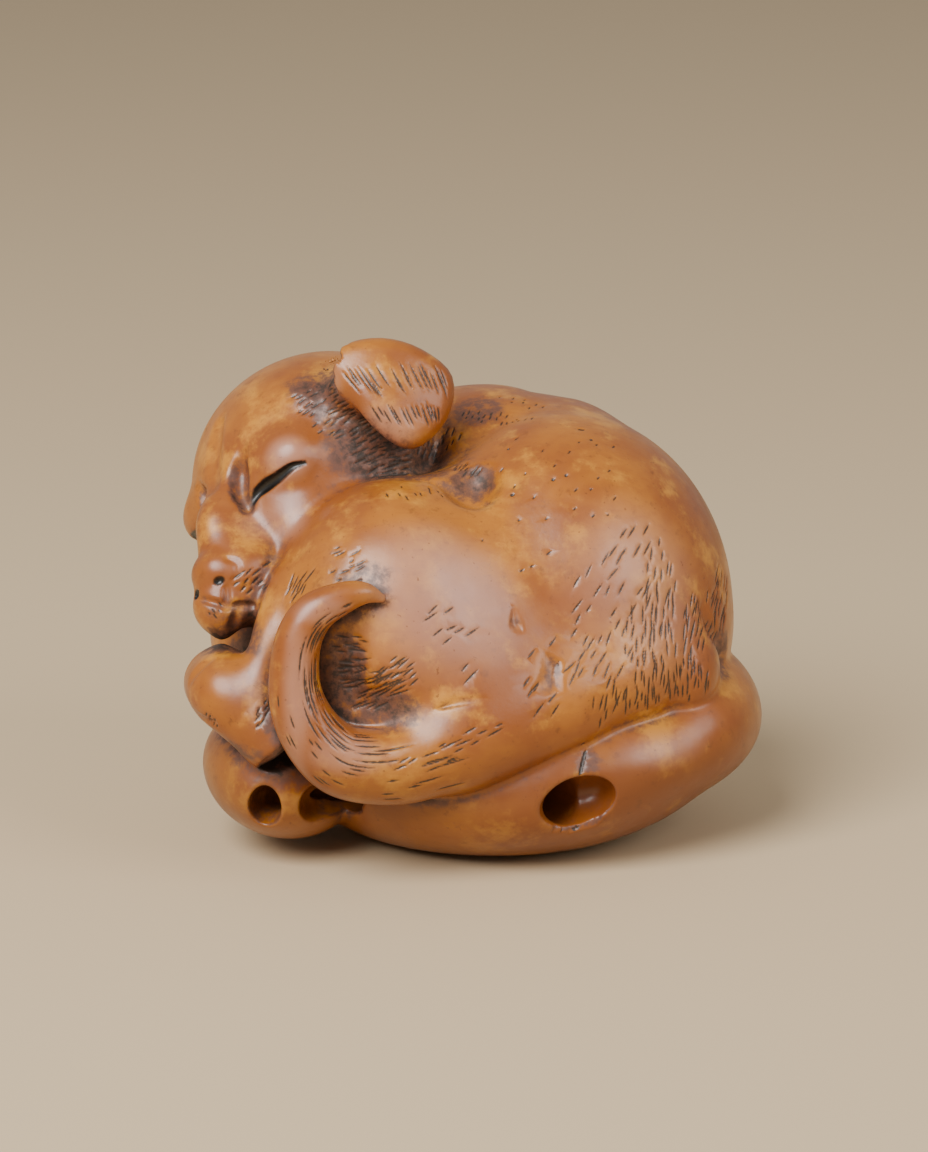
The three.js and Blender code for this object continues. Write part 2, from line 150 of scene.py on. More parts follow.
# %% The head
HEAD_AT = np.array((-10.5, 4.5, 24.2))
across = np.array((-0.606, 0.567, -0.558))
across /= np.linalg.norm(across)
forward = np.array((-0.683, -0.73, 0.0))
forward -= across * (forward @ across)
forward /= np.linalg.norm(forward)
crown = np.cross(across, forward)
HEAD_AXES = np.stack((forward, crown, across), axis=1)
HEAD = [
    dict(at=(0, 0, 0), radii=(9.0, 8.3, 9.3)),  # skull
    dict(at=(4.6, -1.8, 0), radii=(5.3, 5.4, 5.8), blend=2.4),  # face
    dict(at=(5.2, -5.2, 3.2), radii=(4.3, 3.4, 3.0), blend=2.0, pair=True),  # cheeks
    dict(at=(6.8, 0, 4.6), radii=(2.0, 1.9, 2.3), blend=1.2, pair=True),  # upper lids
    dict(at=(10.2, -2.6, 0), radii=(2.6, 3.2, 1.9), turn=(0, 0, 40), blend=1.5),  # bridge
    dict(at=(10.9, -5.9, 0), radii=(3.3, 2.6, 3.0), blend=1.6),  # muzzle
    dict(at=(13.4, -5.3, 0.1), radii=(1.2, 1.4, 1.7), blend=0.6),  # nose
    dict(at=(10, -7.7, 0), radii=(4, 2, 2.4), blend=0.6),  # jaw
    dict(at=(13.3, -7.5, 0.8), radii=(1.8, 2.0, 1.9), blend=0.6),  # chin
]
FOREHEAD_GROOVE = [(7.2, 5.0, 0, 0.1), (8.2, 4.0, 0, 0.3), (9.4, 2.3, 0, 0.35), (10.4, 0.7, 0, 0.2)]
BROW_HOLLOW = [
    (9.0, 1.6, 2.6, 0.2), (9.2, 0.6, 2.1, 0.55), (9.7, -0.7, 1.9, 0.45), (10.0, -1.9, 2.1, 0.2),
]
EYE_SLIT = [
    (9.9, -2.0, 2.1, 0.15), (9.4, -1.35, 2.9, 0.32), (9.1, -1.15, 3.8, 0.4),
    (8.8, -1.1, 4.8, 0.36), (8.2, -0.9, 5.9, 0.25), (7.5, -1.0, 6.5, 0.12),
]
NOSE_GROOVE = [
    (13.4, -5.0, 1.9, 0.1), (13.2, -5.5, 2.3, 0.22), (13.3, -6.1, 2.25, 0.25),
    (13.6, -6.6, 1.75, 0.15),
]
MOUTH = [
    (15.1, -6.4, 1.2, 0.1), (14.9, -6.8, 0.4, 0.2), (14.7, -7.4, -0.3, 0.24),
    (14.2, -8.0, -0.8, 0.26), (13.5, -8.2, -1.1, 0.24), (12.7, -8.5, -1.4, 0.24),
    (11.8, -8.8, -1.7, 0.15),
]
LIP_CREASE = [(13.9, -6.8, -1.15, 0.12), (14.0, -7.3, -1.0, 0.2), (14.2, -7.9, -0.8, 0.2)]
CHIN_CREASE = [
    (13.5, -8.3, -1.1, 0.15), (13.7, -8.8, -0.8, 0.3), (13.7, -9.3, -0.2, 0.35),
    (13.4, -9.8, 0.4, 0.2),
]
NOSTRIL = dict(at=(14.4, -6.2, 1.1), radii=(0.55, 0.3, 0.42))
EAR_OUTLINE = [
    (-5.6, -1.1), (-5.4, -2.3), (-3.3, -3.3), (-0.5, -3.7), (2.3, -2.9), (4.5, -1.0),
    (3.9, 2.1), (1.4, 4.2), (-1.0, 3.1), (-3.0, 0.6), (-4.2, -1.1),
]
EAR_HALF_THICKNESS = 0.8
NEAR_EAR = dict(at=(-5.3, -3.6, 31.9), along=(1, 0.22, -0.05), out=(0, -0.92, 0.4))
FAR_EAR = dict(
    at=HEAD_AT + HEAD_AXES @ (-3.5, 1.5, 8.8),
    along=-0.9 * forward - 0.3 * crown,
    out=across - 0.25 * forward + 0.1 * crown,
)

# %% [markdown]
# A field says how far any point in space lies outside a form. Fields are easy to blend: the smaller of
# two is their union, and rounding the place where they meet gives the soft valley that a knife leaves.

# %% Fields and blends
def smooth_min(a, b, width):
    share = np.maximum(width - np.abs(a - b), 0) / width
    return np.minimum(a, b) - share * share * width * 0.25


def smooth_max(a, b, width):
    return -smooth_min(-a, -b, width)


def ease(value, start, end):
    """0 up to start, 1 from end on, and a smooth rise between."""
    share = np.clip((value - start) / (end - start), 0, 1)
    return share * share * (3 - 2 * share)


def turned(degrees):
    x, y, z = (math.radians(angle) for angle in degrees)
    return np.array(Euler((x, y, z), "XYZ").to_matrix())


def mass_field(points, at, radii, turn=None, **rest):
    local = points - np.asarray(at)
    if turn:
        local = local @ turned(turn)
    local = local / np.asarray(radii, dtype=float)
    level = np.linalg.norm(local, axis=1)
    slope = np.linalg.norm(local / np.asarray(radii, dtype=float), axis=1)
    return level * (level - 1) / np.maximum(slope, 1e-9)


def blend_field(points, masses):
    depth = None
    for mass in masses:
        field = mass_field(points, **mass)
        if mass.get("pair"):
            x, y, z = mass["at"]
            field = np.minimum(field, mass_field(points, **{**mass, "at": (x, y, -z)}))
        depth = field if depth is None else smooth_min(depth, field, mass.get("blend", 1.0))
    return depth


def spans_of(path):
    """The cubic of each span of a Catmull-Rom curve through the path, highest power first."""
    knots = np.array(path, dtype=float)
    knots = np.vstack((2 * knots[0] - knots[1], knots, 2 * knots[-1] - knots[-2]))
    a, b, c, d = knots[:-3], knots[1:-2], knots[2:-1], knots[3:]
    return np.stack((-a + 3 * b - 3 * c + d, 2 * a - 5 * b + 4 * c - d, c - a, 2 * b), axis=1) / 2


def along_path(spans, t):
    """Place and radius on the curve, with their first and second change, at each t."""
    span = np.minimum(t.astype(int), len(spans) - 1)
    cubic, square, line, start = np.moveaxis(spans[span], 1, 0)
    u = (t - span)[:, None]
    place = ((cubic * u + square) * u + line) * u + start
    return place, (3 * cubic * u + 2 * square) * u + line, 6 * cubic * u + 2 * square


def smooth_path(path, steps):
    spans = spans_of(path)
    return along_path(spans, np.linspace(0, len(spans), steps * len(spans) + 1))[0]


def limb_field(points, path, reach=6.0):
    """Distance outside a limb. Points farther off than reach get that reach."""
    spans = spans_of(path)
    rows = smooth_path(path, 4)
    depth = np.full(len(points), reach)
    low = (rows[:, :3] - rows[:, 3:]).min(axis=0) - reach
    high = (rows[:, :3] + rows[:, 3:]).max(axis=0) + reach
    near = np.flatnonzero(((points > low) & (points < high)).all(axis=1))
    place = points[near]
    best = np.full(len(near), np.inf)
    t = np.zeros(len(near))
    for number, row in enumerate(rows):
        gap = np.sqrt(((place - row[:3]) ** 2).sum(axis=1)) - row[3]
        closer = gap < best
        best[closer] = gap[closer]
        t[closer] = number / 4
    for _ in range(3):  # Newton's steps to the nearest place on the curve
        at, speed, bend = along_path(spans, t)
        away = place - at[:, :3]
        rate = (speed[:, :3] ** 2).sum(axis=1)
        turn = np.maximum(rate - (away * bend[:, :3]).sum(axis=1), 0.3 * rate)
        step = (away * speed[:, :3]).sum(axis=1) / np.maximum(turn, 1e-9)
        t = np.clip(t + np.clip(step, -0.3, 0.3), 0, len(spans))
    at = along_path(spans, t)[0]
    depth[near] = np.minimum(np.linalg.norm(place - at[:, :3], axis=1) - at[:, 3], reach)
    return depth


def outline_field(x, y, outline):
    """Distance outside a closed flat outline."""
    nearest = np.full(len(x), 1e9)
    inside = np.zeros(len(x), dtype=bool)
    for a, b in zip(np.roll(outline, 1, axis=0), outline):
        side = b - a
        share = np.clip(((x - a[0]) * side[0] + (y - a[1]) * side[1]) / (side @ side), 0, 1)
        gap = np.hypot(x - a[0] - share * side[0], y - a[1] - share * side[1])
        nearest = np.minimum(nearest, gap)
        if a[1] != b[1]:
            between = (a[1] > y) != (b[1] > y)
            inside ^= between & (x < a[0] + (y - a[1]) / side[1] * side[0])
    return np.where(inside, -nearest, nearest)


def closed_outline(corners, steps):
    wrapped = np.array([corners[-1], *corners, corners[0], corners[1]], dtype=float)
    rows = []
    for a, b, c, d in zip(wrapped, wrapped[1:], wrapped[2:], wrapped[3:]):
        for t in np.linspace(0, 1, steps, endpoint=False):
            bend = (2 * a - 5 * b + 4 * c - d) * t + (-a + 3 * b - 3 * c + d) * t * t
            rows.append(b + 0.5 * t * (c - a + bend))
    return np.array(rows)


EAR_EDGE = closed_outline(EAR_OUTLINE, 4)


def ear_axes(along, out, **rest):
    along = np.asarray(along, dtype=float)
    along = along / np.linalg.norm(along)
    down = np.cross(along, out)
    down /= np.linalg.norm(down)
    return np.stack((along, down, np.cross(along, down)), axis=1)


def ear_field(points, ear, reach=4.0):
    local = (points - np.asarray(ear["at"])) @ ear_axes(**ear)
    depth = np.linalg.norm(local, axis=1) - 6.5
    near = np.flatnonzero(depth < reach)
    x, y, z = local[near].T
    cup = 0.05 * (x - 0.3) ** 2 + 0.035 * (y - 0.5) ** 2
    through = np.abs(z - cup) - EAR_HALF_THICKNESS
    depth[near] = smooth_max(outline_field(x, y, EAR_EDGE), through, 1.2)
    return depth


# %% [markdown]
# The forms are put together in the order in which the knife finds them: first the body with the
# groove inside the tail's curl, then the tail, the cushion, the head on its neck, and last the ears
# and the feet. Small widths leave a cut crease, and large ones a slow swell.

# %% The whole carving as one field
def in_head(points):
    return (points - HEAD_AT) @ HEAD_AXES


# Each line of the face with the softness of its edge: first those on both sides, then single ones.
PAIRED_CUTS = ((BROW_HOLLOW, 0.8), (EYE_SLIT, 0.25), (NOSE_GROOVE, 0.3))
SINGLE_CUTS = ((FOREHEAD_GROOVE, 1.0), (MOUTH, 0.3), (LIP_CREASE, 0.3), (CHIN_CREASE, 0.4))


def head_field(points):
    local = in_head(points)
    depth = blend_field(local, HEAD)
    for side in (1, -1):
        flip = np.array((1, 1, side, 1))
        for cut, softness in PAIRED_CUTS:
            line = limb_field(local, np.array(cut) * flip, 2.0)
            depth = smooth_max(depth, -line, softness)
        depth = smooth_max(depth, -mass_field(local * flip[:3], **NOSTRIL), 0.2)
    for cut, softness in SINGLE_CUTS:
        depth = smooth_max(depth, -limb_field(local, cut, 2.0), softness)
    return depth


def cushion_field(points):
    depth = blend_field(points, CUSHION)
    depth = smooth_max(depth, -points[:, 2] - 0.05, 1.0)
    return depth


def body_field(points):
    depth = smooth_min(blend_field(points, BODY), limb_field(points, SHIN), 1.8)
    depth = smooth_max(depth, -limb_field(points, TAIL_GROOVE), 1.2)
    depth = smooth_max(depth, -mass_field(points, **NECK_HOLLOW), 1.0)
    depth = smooth_max(depth, -limb_field(points, HAUNCH_CREASE), 0.5)
    depth = smooth_max(depth, -limb_field(points, TUFT_CREASE), 0.8)
    depth = smooth_min(depth, mass_field(points, **RUMP_TUFT), 0.9)
    root = 0.3 + 4 * ease(points[:, 0], -7, 1)  # the tail grows out of the rump
    return smooth_min(depth, limb_field(points, TAIL), root)


def carving_field(points):
    depth = smooth_min(body_field(points), cushion_field(points), 0.4)
    neck = smooth_min(blend_field(points, NECK), limb_field(points, NECK_RIDGE), 1.0)
    depth = smooth_min(depth, neck, 0.8)
    head = smooth_min(head_field(points), mass_field(points, **EAR_ROOT), 1.0)
    depth = smooth_min(depth, head, 0.8)
    depth = smooth_min(depth, ear_field(points, NEAR_EAR), 0.4 + 1.8 * ease(-points[:, 0], 7, 10))
    depth = smooth_min(depth, ear_field(points, FAR_EAR), 0.4)
    depth = smooth_min(depth, blend_field(points, LIMBS), 0.5)
    depth = smooth_min(depth, limb_field(points, HIND_FOOT), 1.6)
    for cleft in (TOE_CLEFT, PAD_CLEFT):
        depth = smooth_max(depth, -limb_field(points, cleft), 0.4)
    for way in (CORD_WAY, CORD_BRANCH):
        depth = smooth_max(depth, -limb_field(points, way), 0.3)
    for mouth in CORD_MOUTHS:
        depth = smooth_max(depth, -mass_field(points, **mouth), 0.3)
    return np.maximum(depth, -points[:, 2])


print("at the torso's centre the field reads", carving_field(np.array([[6.2, 1.2, 15.0]]))[0])

# %% [markdown]
# Now real geometry. As a sculptor would in Blender, the masses are added as spheres and tubes, joined,
# and given one skin by a voxel remesh. That skin is then drawn onto the blended field, point by point,
# which no modifier can do, and remeshed once more, finely, so that it can carry small cuts. The work
# is done at a thousand times life size, so that one Blender unit is a millimetre and the voxels stay
# above Blender's smallest size.

# %% Blocking out
def deselect():
    bpy.ops.object.select_all(action="DESELECT")


def block(mass, axes=None, origin=(0, 0, 0)):
    """A sphere stretched to a mass, in the carving's frame."""
    deselect()
    bpy.ops.mesh.primitive_ico_sphere_add(subdivisions=4, radius=1)
    sphere = bpy.context.object
    turn = Matrix(turned(mass.get("turn", (0, 0, 0)))).to_4x4()
    place = Matrix.Translation(mass["at"]) @ turn @ Matrix.Diagonal((*mass["radii"], 1))
    if axes is not None:
        place = Matrix.Translation(origin) @ Matrix(axes).to_4x4() @ place
    sphere.data.transform(place)
    return sphere


def limb_block(name, path):
    """A tube with the limb's own radii, closed at both ends."""
    curve = bpy.data.curves.new(name, "CURVE")
    curve.dimensions = "3D"
    curve.bevel_depth = 1.0
    curve.use_fill_caps = True
    spline = curve.splines.new("POLY")
    rows = smooth_path(path, 4)
    spline.points.add(len(rows) - 1)
    for point, row in zip(spline.points, rows):
        point.co = (*row[:3], 1)
        point.radius = row[3]
    tube = bpy.data.objects.new(name, curve)
    bpy.context.collection.objects.link(tube)
    deselect()
    tube.select_set(True)
    bpy.context.view_layer.objects.active = tube
    bpy.ops.object.convert(target="MESH")
    return bpy.context.object


def ear_block(name, ear):
    """The ear's outline, filled and thickened."""
    axes = ear_axes(**ear)
    rows = [np.asarray(ear["at"]) + axes @ (x, y, 0.0) for x, y in EAR_EDGE * 0.94]
    mesh = bpy.data.meshes.new(name)
    mesh.from_pydata([tuple(row) for row in rows], [], [tuple(range(len(rows)))])
    flap = bpy.data.objects.new(name, mesh)
    bpy.context.collection.objects.link(flap)
    solidify = flap.modifiers.new("thickness", "SOLIDIFY")
    solidify.thickness = 1.8 * EAR_HALF_THICKNESS
    solidify.offset = 0
    deselect()
    flap.select_set(True)
    bpy.context.view_layer.objects.active = flap
    bpy.ops.object.modifier_apply(modifier="thickness")
    return flap


blocks = [block(mass) for mass in (*CUSHION, *BODY, *NECK, *LIMBS, RUMP_TUFT, EAR_ROOT)]
for mass in HEAD:
    blocks.append(block(mass, HEAD_AXES, HEAD_AT))
    if mass.get("pair"):
        x, y, z = mass["at"]
        blocks.append(block({**mass, "at": (x, y, -z)}, HEAD_AXES, HEAD_AT))
limbs = dict(tail=TAIL, shin=SHIN, hind_foot=HIND_FOOT, neck_ridge=NECK_RIDGE)
blocks += [limb_block(name, path) for name, path in limbs.items()]
blocks += [ear_block("near_ear", NEAR_EAR), ear_block("far_ear", FAR_EAR)]
print("blocked out from", len(blocks), "pieces")

# %% [markdown]
# Joined blocks still cut through each other. A voxel remesh gives them one closed skin, a Boolean takes
# the cord way out of it, and the points are then moved onto the field.

# %% One skin over the blocks
def join(pieces, name):
    deselect()
    for piece in pieces:
        piece.select_set(True)
    bpy.context.view_layer.objects.active = pieces[0]
    bpy.ops.object.join()
    whole = bpy.context.object
    whole.name = name
    return whole


def reskin(piece, voxel):
    remesh = piece.modifiers.new("skin", "REMESH")
    remesh.mode = "VOXEL"
    remesh.voxel_size = voxel
    deselect()
    piece.select_set(True)
    bpy.context.view_layer.objects.active = piece
    bpy.ops.object.modifier_apply(modifier="skin")


def read_points(piece):
    points = np.empty(len(piece.data.vertices) * 3)
    piece.data.vertices.foreach_get("co", points)
    return points.reshape(-1, 3)


def write_points(piece, points):
    piece.data.vertices.foreach_set("co", points.ravel())
    piece.data.update()


def read_normals(piece):
    normals = np.empty(len(piece.data.vertices) * 3)
    piece.data.vertex_normals.foreach_get("vector", normals)
    return normals.reshape(-1, 3)


def slope_of(field, points, step=0.02):
    """Which way is out of a field, at each point."""
    here = field(points)
    slope = np.stack([(field(points + row) - here) / step for row in np.eye(3) * step], axis=1)
    return here, slope


def draw_onto(piece, field, rounds, longest):
    """Moves every point along the field's slope until it lies on the form."""
    points = read_points(piece)
    for _ in range(rounds):
        depth, slope = slope_of(field, points)
        steep = np.maximum((slope * slope).sum(axis=1), 0.25)
        step = np.clip(depth / steep, -longest, longest)
        points -= step[:, None] * slope
    write_points(piece, points)


def press_onto(piece, field, rounds, longest):
    """The same for points that are nearly there, along the mesh's own normals."""
    for _ in range(rounds):
        points = read_points(piece)
        step = np.clip(field(points), -longest, longest)
        write_points(piece, points - step[:, None] * read_normals(piece))
    return np.abs(step)


COARSE = 0.35  # voxel of the first skin, in millimetres
SETTLED = 0.02  # a point whose last step was shorter has arrived, in millimetres
FINE = 0.1  # voxel of the skin that carries the small cuts

netsuke = join(blocks, "netsuke_carving")
reskin(netsuke, COARSE)
ways = [limb_block("cord_way", CORD_WAY), limb_block("cord_branch", CORD_BRANCH)]
bore = join(ways + [block(mouth) for mouth in CORD_MOUTHS], "bore")
reskin(bore, COARSE)
cut_away = netsuke.modifiers.new("cord way", "BOOLEAN")
cut_away.operation = "DIFFERENCE"
cut_away.object = bore
deselect()
netsuke.select_set(True)
bpy.context.view_layer.objects.active = netsuke
bpy.ops.object.modifier_apply(modifier="cord way")
bpy.data.objects.remove(bore)
draw_onto(netsuke, carving_field, 4, 0.4)
reskin(netsuke, FINE)
last_step = press_onto(netsuke, carving_field, 2, 0.1)
arrived = 100 * float((last_step < SETTLED).mean())
print("fine skin:", len(netsuke.data.vertices), "points,", round(arrived, 1), "% settled")
print("largest last step:", round(float(last_step.max()), 3), "mm, and a step is at most 0.1 mm")

# %% [markdown]
# The puppy's coat is hinted at with short cuts of a fine graver, in patches that follow the body: close
# and upright along the lower edge, slanting on the flank, long round the tail, and nearly none on the
# worn back. A patch says where its middle lies, the slant of its lines as the front view shows them,
# how far it reaches along and across them, their spacing and their lengths.

# %% The patches of fur
FUR = [
    # flank, from the back down to the lower edge
    dict(at=(9.8, -10.4, 19.8), slant=58, reach=(4.6, 3.0), pitch=0.75, length=(0.8, 1.6), skip=0.35),
    dict(at=(12.8, -9.4, 18.8), slant=84, reach=(3.8, 1.6), pitch=0.5, length=(0.7, 1.5), skip=0.3),
    dict(at=(5.2, -14.0, 14.4), slant=55, reach=(3.6, 2.6), pitch=0.9, length=(0.8, 1.6), skip=0.45),
    dict(at=(8.6, -12.8, 14.6), slant=66, reach=(3.0, 2.0), pitch=0.7, length=(0.8, 1.5), skip=0.35),
    dict(at=(12.1, -11.0, 15.3), slant=86, reach=(1.9, 2.3), pitch=0.36, length=(0.8, 1.8), skip=0.3),
    dict(at=(9.0, -13.1, 11.8), slant=80, reach=(1.6, 1.4), pitch=0.42, length=(0.9, 1.9), skip=0.3),
    dict(at=(11.6, -11.7, 12.0), slant=88, reach=(1.5, 2.2), pitch=0.3, length=(0.9, 1.9), skip=0.12),
    dict(at=(14.7, -9.4, 12.4), slant=86, reach=(1.4, 2.2), pitch=0.28, length=(0.8, 1.7), skip=0.12),
    dict(at=(15.0, -8.2, 15.8), slant=80, reach=(2.2, 1.4), pitch=0.36, length=(0.8, 1.8), skip=0.25),
    dict(at=(17.0, -5.0, 16.4), slant=76, reach=(2.6, 1.7), pitch=0.32, length=(0.9, 2.1), skip=0.15),
    # worn back and haunch
    dict(at=(6.2, -5.6, 26.6), slant=48, reach=(4.6, 5.6), pitch=2.2, length=(0.2, 0.6), skip=0.4),
    dict(at=(3.6, -10.0, 22.6), slant=35, reach=(3.0, 4.0), pitch=2.0, length=(0.2, 0.6), skip=0.45),
    dict(at=(-3.9, -7.8, 25.6), slant=-58, reach=(1.0, 2.4), pitch=0.6, length=(0.4, 0.9), skip=0.35),
    dict(at=(-1.9, -14.7, 17.7), slant=38, reach=(1.3, 1.9), pitch=0.7, length=(0.8, 1.5), skip=0.4),
    dict(at=(0.6, -15.4, 13.9), slant=46, reach=(2.0, 2.3), pitch=0.9, length=(0.9, 2.2), skip=0.45),
    dict(at=(-3.1, -17.2, 9.6), slant=24, reach=(3.2, 1.1), pitch=0.45, length=(0.8, 1.9), skip=0.35),
    dict(at=(-0.6, -17.0, 10.6), slant=28, reach=(2.6, 1.0), pitch=0.6, length=(0.7, 1.6), skip=0.4),
    dict(at=(-11.7, -11.4, 19.6), slant=62, reach=(1.2, 1.1), pitch=0.28, length=(0.8, 1.6), skip=0.1),
    dict(at=(-8.6, -13.4, 21.2), slant=28, reach=(1.0, 2.6), pitch=0.4, length=(0.4, 1.0), skip=0.35),
    # the hollow inside the tail's curl
    dict(at=(-8.4, -14.2, 16.4), slant=-6, reach=(1.2, 1.1), pitch=0.3, length=(0.8, 1.6), skip=0.1),
    dict(at=(-8.0, -14.3, 14.6), slant=10, reach=(1.5, 1.1), pitch=0.28, length=(0.9, 1.8), skip=0.08),
    dict(at=(-6.8, -14.8, 13.4), slant=26, reach=(2.1, 1.2), pitch=0.28, length=(1.0, 2.2), skip=0.08),
    dict(at=(-5.4, -15.5, 14.4), slant=38, reach=(1.5, 1.3), pitch=0.34, length=(0.8, 1.8), skip=0.2),
    # head: the coat behind the eye, the muzzle and the temples
    dict(at=(-8.4, -2.9, 28.9), slant=28, reach=(1.3, 4.2), pitch=0.3, length=(0.8, 1.5), skip=0.08),
    dict(at=(-10.8, -2.6, 29.7), slant=36, reach=(1.0, 2.8), pitch=0.45, length=(0.5, 1.0), skip=0.35),
    dict(at=(-5.4, -3.2, 26.6), slant=14, reach=(1.4, 1.6), pitch=0.3, length=(0.7, 1.3), skip=0.1),
    dict(at=(-14.9, -8.7, 19.4), slant=44, reach=(1.5, 1.2), pitch=0.36, length=(0.7, 1.5), skip=0.25),
    dict(at=(-17.4, -9.3, 17.8), slant=-50, reach=(0.6, 0.7), pitch=0.4, length=(0.3, 0.6), skip=0.2),
    # neck and its fold
    dict(at=(-3.0, -0.4, 26.6), slant=68, reach=(0.9, 1.5), pitch=0.4, length=(0.5, 1.1), skip=0.2),
    dict(at=(-1.6, 0.6, 27.2), slant=70, reach=(0.8, 1.2), pitch=0.4, length=(0.4, 0.9), skip=0.25),
    dict(at=(1.8, 1.2, 28.6), slant=64, reach=(0.6, 3.0), pitch=0.45, length=(0.3, 0.8), skip=0.2),
    dict(at=(3.6, 3.4, 29.2), slant=50, reach=(0.7, 2.4), pitch=0.8, length=(0.3, 0.7), skip=0.3),
    dict(at=(-0.5, -3.9, 26.2), slant=50, reach=(0.6, 1.1), pitch=0.24, length=(0.5, 0.9), skip=0.05),
    # hind foot and shin
    dict(at=(-17.3, -12.3, 10.9), slant=70, reach=(0.5, 0.9), pitch=0.26, length=(0.4, 0.8), skip=0.1),
    dict(at=(-13.9, -13.8, 11.8), slant=62, reach=(1.5, 0.5), pitch=0.26, length=(0.5, 1.0), skip=0.1),
    # sides and back, finished in keeping with the front
    dict(at=(18.2, 3.0, 14.6), slant=86, reach=(2.6, 4.4), pitch=0.55, length=(0.8, 1.8), skip=0.35),
    dict(at=(12.5, 12.3, 12.0), slant=86, reach=(2.2, 4.0), pitch=0.5, length=(0.8, 1.8), skip=0.3),
    dict(at=(3.0, 14.2, 12.5), slant=80, reach=(2.6, 4.0), pitch=0.7, length=(0.8, 1.7), skip=0.4),
    dict(at=(-8.0, 13.0, 21.0), slant=70, reach=(3.0, 3.6), pitch=0.8, length=(0.6, 1.4), skip=0.45),
]
EAR_FUR = [
    dict(start=-4.2, end=3.9, from_side=-2.0, to_side=0.9, pitch=0.32, length=(1.2, 2.4), skip=0.15),
    dict(start=-1.9, end=3.2, from_side=0.9, to_side=3.0, pitch=0.34, length=(0.9, 1.9), skip=0.12),
]
PITS = [
    ((7.4, -1.9, 28.8), 0.7), ((8.2, -3.0, 28.2), 0.35), ((6.4, -6.5, 26.4), 0.3),
    ((5.5, -6.8, 26.2), 0.3), ((2.7, -7.3, 25.2), 0.4), ((2.5, -3.3, 27.6), 0.25),
]
CRACK = [((7.8, -13.0, 9.0), (7.3, -14.0, 7.3)), ((7.4, -13.9, 3.9), (7.0, -13.6, 3.4))]
FROM_FRONT = np.array((0, 0.97, -0.24))  # the way into the front view
LINE_HALF_WIDTH = 0.1
LINE_DEPTH = 0.1
print("fur:", len(FUR) + 2 * len(EAR_FUR), "patches")


# %% [markdown]
# Each line starts somewhere in its patch, is laid on the surface, and runs on in small steps that keep
# it there. The spacing is uneven by a seeded random amount, as a hand's is.

# %% Laying the lines on the surface
STEPS = 6  # each line is drawn in this many steps
STRAY = 2.5  # a start that lands farther off than this has missed its patch, in millimetres
chance = random.Random(11)


def settle(points, rounds=1):
    """Puts points on the carving and gives the way out of it at each."""
    for _ in range(rounds):
        depth, slope = slope_of(carving_field, points)
        steep = np.maximum((slope * slope).sum(axis=1), 0.25)
        points = points - (np.clip(depth, -0.5, 0.5) / steep)[:, None] * slope
    return points, slope / np.linalg.norm(slope, axis=1)[:, None]


def slanted(out, slants):
    """The way along the surface that looks slanted so many degrees from the front."""
    angles = np.radians(slants)
    way = np.stack((np.cos(angles), np.zeros(len(angles)), np.sin(angles)), axis=1)
    facing = out @ FROM_FRONT
    facing = np.where(np.abs(facing) < 0.4, np.where(facing < 0, -0.4, 0.4), facing)
    way -= ((way * out).sum(axis=1) / facing)[:, None] * FROM_FRONT
    way -= (way * out).sum(axis=1)[:, None] * out
    return way / np.linalg.norm(way, axis=1)[:, None]


def seeds_of(patch):
    """Start, slant and length of each line of a patch."""
    middle, out = settle(np.array([patch["at"]]), 6)
    along = slanted(out, [patch["slant"]])[0]
    across = np.cross(out[0], along)
    far_along, far_across = patch["reach"]
    pitch, (shortest, longest) = patch["pitch"], patch["length"]
    row = 0.4 * (shortest + longest) + 0.4 * pitch
    starts = []
    for i in range(-int(far_across / pitch), int(far_across / pitch) + 1):
        for j in range(-int(far_along / row) - 1, int(far_along / row) + 2):
            u = (j + 0.5 * (i % 2) + chance.uniform(-0.35, 0.35)) * row
            v = (i + chance.uniform(-0.3, 0.3)) * pitch
            if chance.random() < patch["skip"] or math.hypot(u / far_along, v / far_across) > 1:
                continue
            slant = patch["slant"] + chance.gauss(0, 5)
            starts.append((middle[0] + along * u + across * v, slant, chance.uniform(shortest, longest)))
    return starts


def lay(starts, slants, lengths):
    """The lines, each as the places along it on the surface."""
    places, out = settle(np.array(starts), 5)
    kept = np.linalg.norm(places - np.array(starts), axis=1) < STRAY
    places, out = places[kept], out[kept]
    slants, lengths = np.array(slants)[kept], np.array(lengths)[kept]
    line = [places]
    for _ in range(STEPS):
        places = places + slanted(out, slants) * (lengths / STEPS)[:, None]
        places, out = settle(places)
        line.append(places)
    return list(np.stack(line, axis=1))


seeds = [seed for patch in FUR for seed in seeds_of(patch)]
lines = lay(*zip(*seeds))
print("lines from the patches:", len(lines))

# %% [markdown]
# On the ear and the tail the lines follow the form and not one slant. They are worked out in the form's
# own frame. The few pits of the worn back and the crack by the right cord mouth are added, and all of
# them are put on the surface together.

# %% Lines that follow a form
# Down the ear's flap, in the ear's own frame.
guides = []
ear_frame = ear_axes(**NEAR_EAR)
for patch in EAR_FUR:
    x = patch["start"]
    while x < patch["end"]:
        if chance.random() > patch["skip"]:
            length = chance.uniform(*patch["length"])
            last = max(patch["to_side"] - length, patch["from_side"] + 0.1)
            y = chance.uniform(patch["from_side"], last)
            lean = 0.42 - 0.05 * x
            run = np.linspace(0, length, STEPS + 1)
            over = x + run * lean + 0.1 * run**2 / length
            flat = np.stack((over, y + run, np.full(STEPS + 1, -1.0)), axis=1)
            guides.append(np.array(NEAR_EAR["at"]) + flat @ ear_frame.T)
        x += patch["pitch"] * chance.uniform(0.75, 1.25)

